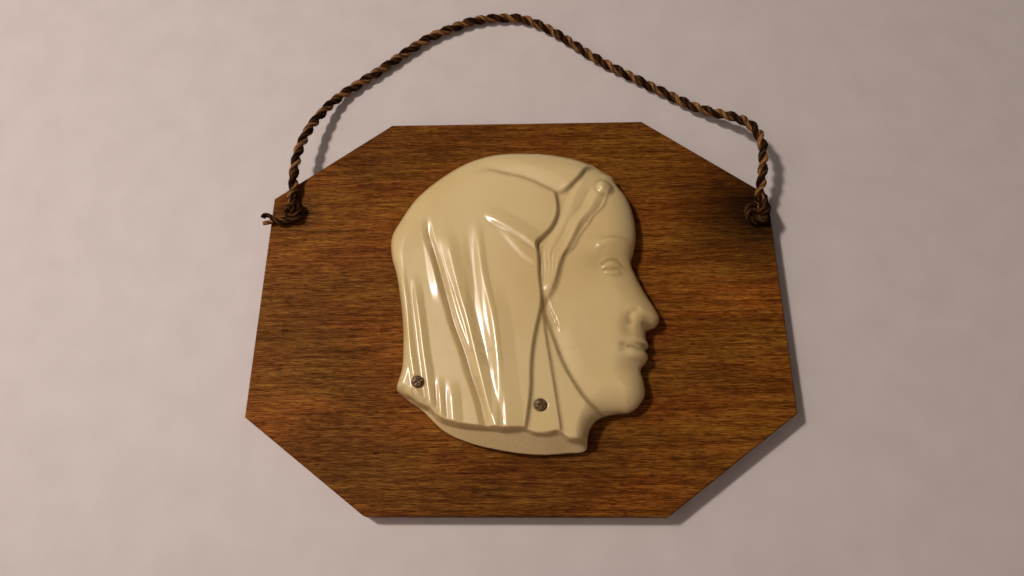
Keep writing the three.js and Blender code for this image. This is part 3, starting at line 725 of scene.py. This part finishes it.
cord_lead = 12 * MM
strand_radius = {"dark": 1.34 * MM, "tan": 1.05 * MM, "darkened_tan": 1.05 * MM}
strand_off_centre = {"dark": 0.95 * MM, "tan": 1.18 * MM, "darkened_tan": 1.18 * MM}
strand_sides = 30
yarns = 5
yarn_lead = 0.8  # of the yarns in a strand, as a share of the strand's own
core, lobe_rise = 0.74, 0.3  # the radius between the yarns and their rise, as shares of the strand's
uneven_length = 7 * MM
fewest_swells = 4
uneven_slow, uneven_fine = 0.03, 0.014  # as shares of the strand's radius
deepest_shade, shade_grain = 0.1, 0.1
ring_gap = 0.44 * MM  # between the rings of points along the cord
knot_ring_gap = 0.35 * MM

# How tan each yarn of a strand is, from 0, dark brown, to 1.
yarn_tones = {
    "dark": (0.0, 0.1, 0.0, 0.2, 0.03),
    "tan": (1.0, 0.35, 0.95, 0.2, 0.85),
    # the tan strand in the knots, with most of its yarns dark brown
    "darkened_tan": (0.1, 0.0, 0.75, 0.05, 0.2),
}

# The route of the cord's centre in millimetres: right, up and out from the back of the board.
cord_path_mm = [
    (-101, 48.2, 10.7), (-100.6, 53, 11.3), (-101, 58, 12), (-100.9, 65.4, 12), (-100.4, 73.4, 11),
    (-98.2, 83.5, 9.5), (-95.2, 91.9, 7.5), (-89.7, 102.9, 4.5), (-83.5, 110.5, 2.9), (-67.3, 123.8, 2.6),
    (-51.2, 137.4, 2.6), (-42.9, 143.3, 2.6), (-34.3, 147.5, 2.6), (-24.6, 151.6, 2.6), (-15, 153.5, 2.6),
    (-5.4, 153.7, 2.6), (2.1, 152.8, 2.6), (10.6, 148.9, 2.6), (20, 142.4, 2.6), (38.3, 127.4, 2.6),
    (56.6, 115.2, 2.6), (74, 103.9, 3), (82.3, 98, 4.2), (90.3, 93.1, 6.2), (97.9, 88.7, 9.2),
    (103.8, 83, 12.4), (107.1, 76.5, 14.2), (108.3, 70.2, 14.6), (108.2, 63.6, 14), (107.4, 57, 12.8),
    (106.3, 51, 11.6), (105.4, 46.3, 10.9),
]


def route(points_mm):
    """Points right, up and out from the back of the board, in millimetres, brought into the frame."""
    right, up, out = np.array(points_mm, float).T * MM
    return np.stack([right, -out, up], 1)


def yarn_material():
    """Fibres of dark brown or tan yarn, by the tone of each point, darker between the yarns by its shade."""
    material, tree, shader = new_material("twisted_yarn")
    tone = add(tree, "Attribute", attribute_name="tone").outputs["Fac"]
    shade = add(tree, "Attribute", attribute_name="shade").outputs["Fac"]
    fibres = noise(tree, (2600, 2600, 2600), detail=3.0)
    brown_hollow, brown_raised = (0.003, 0.0009, 0.0004), (0.02, 0.0058, 0.0022)
    tan_hollow, tan_raised = (0.15, 0.062, 0.019), (0.42, 0.215, 0.082)
    brown = ramp(tree, fibres, [(0.3, brown_hollow), (0.7, brown_raised)])
    tan = ramp(tree, fibres, [(0.3, tan_hollow), (0.7, tan_raised)])
    colour = mix(tree, tone, brown, tan)
    colour = mix(tree, 1.0, colour, ramp(tree, shade, [(0.0, 0.2), (1.0, 1.25)]), "MULTIPLY")
    tree.links.new(colour, shader.inputs["Base Color"])
    shader.inputs["Roughness"].default_value = 0.9
    shader.inputs["Specular IOR Level"].default_value = 0.04
    bump(tree, shader, fibres, strength=0.6, distance=0.0002)
    return material


def directions(line):
    """The unit vectors along a line."""
    ahead = np.gradient(line, axis=0)
    return ahead / np.linalg.norm(ahead, axis=1)[:, None]


def crosswise(ahead, towards):
    """Two unit vectors across each direction along a line: one to its side, and one up, as near as it can
    be to another direction."""
    side = np.cross(ahead, towards)
    side /= np.linalg.norm(side, axis=1)[:, None]
    return side, np.cross(side, ahead)


to_front = np.array([0.02, -1.0, 0.01])  # a little askew, so that no line runs along it


def strand(centre, start_turn, lead, size, colour, seed, straight=False):
    """A strand of a cord: a tube round a helix about the cord's centre line, or along the line itself, with
    a lobe for each yarn. The lobes turn against the helix. Gives its points, with a shade and tone for
    each."""
    radius = size * strand_radius[colour]
    off_centre = 0 if straight else size * strand_off_centre[colour]
    along = np.concatenate([[0], np.cumsum(np.linalg.norm(np.diff(centre, axis=0), axis=1))])
    side, up = crosswise(directions(centre), to_front)
    turn = (start_turn + 2 * math.pi * along / lead)[:, None]
    helix = centre + off_centre * (np.cos(turn) * side - np.sin(turn) * up)
    side, up = crosswise(directions(helix), up)
    angle = np.linspace(0, 2 * math.pi, strand_sides, endpoint=False)[None, :]
    yarn_turn = yarns * (angle + 2 * math.pi * along[:, None] / (lead * yarn_lead)) / 2
    lobe = np.sqrt(np.abs(np.cos(yarn_turn)))
    randoms = np.random.default_rng(seed)
    swells = max(fewest_swells, int(along[-1] / uneven_length))
    swell = randoms.normal(0, uneven_slow, swells)
    slow = np.interp(along, np.linspace(0, along[-1], swells), swell)[:, None]
    r = radius * (core + lobe_rise * lobe + slow + randoms.normal(0, uneven_fine, lobe.shape))
    outward = np.cos(angle)[..., None] * side[:, None] + np.sin(angle)[..., None] * up[:, None]
    points = helix[:, None] + r[..., None] * outward
    grain = randoms.normal(0, shade_grain, lobe.shape)
    shade = np.clip(deepest_shade + (1 - deepest_shade) * lobe + grain, 0, 1)
    number = np.round(yarn_turn / math.pi).astype(int) % yarns
    tone = np.array(yarn_tones[colour])[number]
    return points.reshape(-1, 3), shade.ravel(), tone.ravel()


def closed_tube(points):
    """A tube's faces, and two more points with the faces that close its ends on them."""
    rings = len(points) // strand_sides
    ids = np.arange(len(points)).reshape(rings, strand_sides)
    ids = np.hstack([ids, ids[:, :1]])
    first, last = np.full(strand_sides, len(points)), np.full(strand_sides, len(points) + 1)
    faces = np.vstack([
        patchwork(ids),
        np.stack([ids[0, :-1], first, first, ids[0, 1:]], 1),
        np.stack([ids[-1, 1:], last, last, ids[-1, :-1]], 1),
    ])
    middles = [points[:strand_sides].mean(0), points[-strand_sides:].mean(0)]
    return np.vstack([points, middles]), faces


def cord_piece(name, strands):
    """One piece of several closed strands."""
    all_points, all_faces, all_shade, all_tone = [], [], [], []
    count = 0
    for points, shade, tone in strands:
        points, faces = closed_tube(points)
        all_points.append(points)
        all_faces.append(faces + count)
        all_shade += [shade, shade[[0, -1]]]
        all_tone += [tone, tone[[0, -1]]]
        count += len(points)
    piece = new_piece(name, np.vstack(all_points), np.vstack(all_faces), yarn)
    give(piece, "shade", np.concatenate(all_shade))
    give(piece, "tone", np.concatenate(all_tone))
    close_up(piece)
    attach(piece, "root")
    return piece


yarn = yarn_material()
cord_line = curve_through(route(cord_path_mm))
cord_length = line_length(cord_line)
cord_centre = evenly(cord_line, int(cord_length / ring_gap))
cord = cord_piece("twisted_cord", [
    strand(cord_centre, start_turn=0.0, lead=cord_lead, size=1, colour="dark", seed=11),
    strand(cord_centre, start_turn=math.pi, lead=cord_lead, size=1, colour="tan", seed=12),
])
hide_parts("hanging_cord")


fibre_root = 1.6 * MM  # from the cord's centre
fibre_radii = (0.045 * MM, 0.035 * MM, 0.015 * MM)  # at its root, middle and tip
fibre_sides = 3
fibre_lengths_mm = (0.5, 1.3)
lower_out, lower_along = 0.55, 0.3  # how far its lower half goes, as shares of its length
upper_out, upper_along = 0.3, 0.7
fibre_shade = 0.9
fibre_tones = (0.1, 0.9)


def loose_fibres(name, centre, count, seed):
    """Fine curved hairs that start inside the cord and end up to a millimetre off it: each is three rings of
    three points round a bent line, thinner at its end."""
    randoms = np.random.default_rng(seed)
    place = randoms.integers(2, len(centre) - 2, count)
    ahead = directions(centre)[place]
    side, up = crosswise(ahead, to_front)
    turn = randoms.uniform(0, 2 * math.pi, count)[:, None]
    outward = np.cos(turn) * side + np.sin(turn) * up
    length = randoms.uniform(*fibre_lengths_mm, count)[:, None] * MM
    lean = randoms.normal(0, 1.0, count)[:, None] * ahead
    root = centre[place] + fibre_root * outward
    middle = root + length * (lower_out * outward + lower_along * lean)
    tip = middle + length * (upper_out * outward + upper_along * lean)
    angle = np.linspace(0, 2 * math.pi, fibre_sides, endpoint=False)[None, :, None]
    ring = np.cos(angle) * ahead[:, None] + np.sin(angle) * np.cross(ahead, outward)[:, None]
    rings = [spine[:, None] + radius * ring for spine, radius in zip((root, middle, tip), fibre_radii)]
    points = np.stack(rings, 1).reshape(-1, 3)
    ids = np.arange(len(points)).reshape(count, len(rings), fibre_sides)
    piece = new_piece(name, points, patchwork(np.concatenate([ids, ids[:, :, :1]], 2)), yarn)
    give(piece, "shade", np.full(len(points), fibre_shade))
    give(piece, "tone", np.repeat(randoms.uniform(*fibre_tones, count), len(points) // count))
    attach(piece, "root")
    return piece


fibres = loose_fibres("cord_fibres", cord_centre, count=2600, seed=41)


# Each end of the cord goes through its hole in the board. On the left its strands part into a small dark
# knot with a short tail that sticks out over the side of the board, frayed into its two strands. On the right
# it is knotted in a ring over the hole.

single_lead = 9 * MM
fewest_rings = 12


def knot_centre(path_mm):
    """The centre line of a length of cord in a knot, at even distances."""
    line = curve_through(route(path_mm))
    return evenly(line, max(fewest_rings, int(line_length(line) / knot_ring_gap)))


def knotted(path_mm, lead, size, seed):
    """A short two-strand length of the cord along a path, thinner than the cord by a share. Its seed turns
    its twist as well."""
    centre = knot_centre(path_mm)
    dark = strand(centre, seed, lead, size, "dark", seed)
    return [dark, strand(centre, seed + math.pi, lead, size, "darkened_tan", seed + 1)]


def single(path_mm, size, colour, seed):
    """A short length of one strand along a path."""
    return strand(knot_centre(path_mm), 0.0, single_lead, size, colour, seed, straight=True)


left_knot = cord_piece("left_knot_and_tail", [
    *knotted([(-101, 47.8, 10.8), (-100.5, 45.2, 11), (-99.9, 43.1, 10), (-100.4, 42.8, 6), (-101, 43, 1)],
             lead=10 * MM, size=0.95, seed=21),
    *knotted([(-97.4, 42.6, 10.6), (-97.1, 40, 11.2), (-98.9, 37.9, 11), (-101.8, 37.2, 10.6),
              (-105.6, 37.1, 10.2), (-109.2, 37.9, 10)], lead=13 * MM, size=0.8, seed=23),
    single([(-101.6, 43.4, 9.6), (-100.2, 45.2, 11.6), (-97.8, 44.8, 12), (-96.6, 42.4, 11.6),
            (-97.2, 40, 10.8)], size=0.85, colour="dark", seed=24),
    single([(-103.2, 41.4, 9.7), (-101.8, 43.4, 11.4), (-99.2, 42.2, 12.4), (-99.8, 39.8, 11.4),
            (-102.6, 39.6, 10)], size=0.85, colour="dark", seed=25),
    single([(-108.4, 38.4, 10), (-110.6, 39.8, 10.4), (-112.5, 39.8, 10.5), (-113.1, 38.7, 10.2)],
           size=0.78, colour="dark", seed=26),
    single([(-108.4, 37.4, 10), (-110.4, 36.7, 9.8), (-112.8, 36.4, 9.6)],
           size=0.9, colour="tan", seed=27),
])
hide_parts("cord_knot_left")

right_knot = cord_piece("right_ring_knot", [
    *knotted([(105.3, 46, 10.9), (106.3, 44, 11.8), (107.1, 41.2, 12.2), (107.1, 38.2, 11.8),
              (105.8, 35.4, 11.2), (102.9, 34.3, 10.9), (100.2, 35.8, 10.8), (99.5, 38.8, 10.8),
              (101, 41.6, 11.2), (103.6, 42, 11.8), (104.9, 40.4, 11.6), (104.2, 38.8, 9.4),
              (103.3, 38.5, 5), (103.3, 38.5, 1)], lead=11 * MM, size=0.85, seed=31),
    single([(101.2, 37.2, 10), (101.8, 39.6, 10.6), (103.8, 40.4, 10.7), (105.2, 38.6, 10.6),
            (104.2, 36.4, 10.4), (102.2, 36.2, 10)], size=0.95, colour="dark", seed=33),
])
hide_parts("cord_knot_right")


# The plaque hangs on a plain pale wall over a pale floor, in soft warm light from the upper left. The wall is
# seen from its front only and is open where the board covers it, so that the back of the plaque shows, and is
# lit, from behind.

def pale_paint(name, one_sided):
    """Matt, faintly mottled paint, which is clear from behind where it is one-sided."""
    material, tree, shader = new_material(name)
    mottle = noise(tree, (60, 60, 60), detail=3.0)
    darker, paler = (0.6, 0.545, 0.53), (0.64, 0.585, 0.57)
    tree.links.new(ramp(tree, mottle, [(0.3, darker), (0.7, paler)]), shader.inputs["Base Color"])
    shader.inputs["Roughness"].default_value = 0.6
    if one_sided:
        output = tree.nodes["Material Output"]
        behind = add(tree, "NewGeometry").outputs["Backfacing"]
        clear = add(tree, "BsdfTransparent").outputs["BSDF"]
        shown = add(tree, "MixShader", {0: behind, 1: shader.outputs["BSDF"], 2: clear})
        tree.links.new(shown.outputs["Shader"], output.inputs["Surface"])
    return material


def stage_piece(name, points, faces, material):
    """A piece of the room, which isn't part of the plaque."""
    new_piece(name, points, faces, material)


floor_z = -0.16
wall_y = 0.0006
reach = 2.5  # of the wall and floor to each side
board_low, board_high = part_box("backboard")
covered = 1.5 * MM  # how far the board reaches over the edge of the opening
cut_x, cut_z = 54 * MM, 40 * MM  # of its corners, across and up
left, right = board_low[0] + covered, board_high[0] - covered
bottom, top = board_low[2] + covered, board_high[2] - covered
opening = np.array([
    (left, bottom + cut_z), (left + cut_x, bottom), (right - cut_x, bottom), (right, bottom + cut_z),
    (right, top - cut_z), (right - cut_x, top), (left + cut_x, top), (left, top - cut_z),
])
far_edge = opening * reach / right
far_edge[:, 1] = np.maximum(far_edge[:, 1], floor_z)
corners = np.vstack([opening, far_edge])
sides = len(opening)
inner = np.arange(sides)
after = (inner + 1) % sides
stage_piece("wall", np.stack([corners[:, 0], np.full(2 * sides, wall_y), corners[:, 1]], 1),
            np.stack([sides + inner, sides + after, after, inner], 1),
            pale_paint("wall_paint", one_sided=True))
floor_corners = [(-reach, -reach), (reach, -reach), (reach, reach), (-reach, reach)]
stage_piece("floor", np.array([(x, y, floor_z) for x, y in floor_corners]), np.array([[0, 1, 2, 3]]),
            pale_paint("floor_paint", one_sided=False))


def area_light(name, place, size, power, colour):
    """A round lamp that faces the plaque."""
    lamp = bpy.data.lights.new(name, "AREA")
    lamp.shape = "DISK"
    lamp.size = size
    lamp.energy = power
    lamp.color = colour
    light = bpy.data.objects.new(name, lamp)
    light.location = place
    light.rotation_euler = (-Vector(place)).to_track_quat("-Z", "Y").to_euler()
    bpy.context.scene.collection.objects.link(light)


area_light("key", place=(-0.62, -1.02, 0.25), size=0.14, power=8.8, colour=(1.0, 0.88, 0.8))
area_light("glow", place=(-1.0, -0.9, 0.1), size=0.9, power=1.6, colour=(1.0, 0.93, 0.9))
area_light("behind", place=(0.3, 1.2, 0.6), size=1.0, power=8, colour=(1.0, 0.93, 0.86))
world = bpy.data.worlds.new("room")
world.use_nodes = True
world.node_tree.nodes["Background"].inputs["Color"].default_value = (1.0, 0.86, 0.76, 1.0)
world.node_tree.nodes["Background"].inputs["Strength"].default_value = 0.06
bpy.context.scene.world = world
bpy.context.scene.view_settings.view_transform = "Standard"


# The camera stands where the photograph was taken from: 0.3 m in front of the plaque and 0.11 m below its
# centre, turned up towards it.

lens = bpy.data.cameras.new("camera")
lens.sensor_width = 36
lens.lens = 26
lens.clip_start = 0.01
camera = bpy.data.objects.new("camera", lens)
tilt_up, turn_left, roll = math.radians(21.37), math.radians(1.94), math.radians(0.25)
level = Matrix.Rotation(math.pi / 2, 4, "X")
aim = Matrix.Rotation(roll, 4, "Z") @ Matrix.Rotation(turn_left, 4, "Y") @ Matrix.Rotation(tilt_up, 4, "X")
camera_place = (0.0078, -0.3001, -0.109)
camera.matrix_world = Matrix.Translation(camera_place) @ level @ aim
bpy.context.scene.collection.objects.link(camera)
bpy.context.scene.camera = camera
